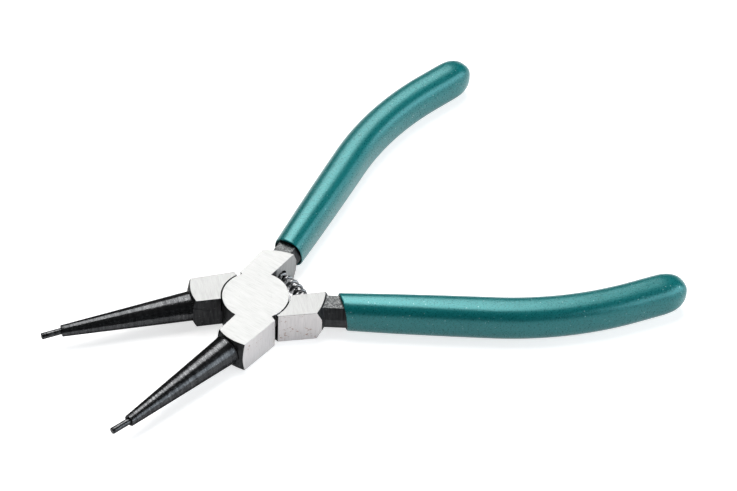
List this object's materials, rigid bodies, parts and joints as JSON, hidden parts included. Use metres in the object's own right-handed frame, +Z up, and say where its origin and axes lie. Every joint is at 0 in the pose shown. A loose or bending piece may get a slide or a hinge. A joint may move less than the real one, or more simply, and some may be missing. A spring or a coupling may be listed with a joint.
{
  "type": "circlip pliers",
  "caption": "Straight circlip pliers for internal retaining rings, with a lapped riveted joint, opening spring, tapered round jaws, pin tips and dipped grips.",
  "frame": {"origin": "centre of the rivet's flush end on the underside of the joint", "axes": "+X towards the handles along the middle line, +Z up along the pivot axis, +Y towards the upper arm's handle"},
  "size_m": [0.164, 0.1178, 0.0113],
  "materials": {
    "upper_arm": "black forged skin with ground joint faces",
    "lower_arm": "black forged skin with ground joint faces",
    "joint_rivet": "ground flush",
    "opening_spring": "dark spring steel",
    "upper_grip": "satin dipped soft plastic",
    "lower_grip": "satin dipped soft plastic",
    "upper_tip": "black hardened steel",
    "lower_tip": "black hardened steel"
  },
  "bodies": {
    "upper_half": {"upper_arm": "upper_arm", "upper_grip": "upper_grip", "upper_tip": "upper_tip", "joint_rivet": "joint_rivet", "opening_spring": "opening_spring"},
    "lower_half": {"lower_arm": "lower_arm", "lower_grip": "lower_grip", "lower_tip": "lower_tip"}
  },
  "joints": [
    {"name": "jaw_pivot", "type": "hinge", "parent": "upper_half", "child": "lower_half", "pos_m": [0, 0, 0.005], "axis": [0, 0, 1], "range_deg": [-7, 37.5], "stiffness_Nm_per_rad": 0.3, "deforming": ["opening_spring"]}
  ]
}
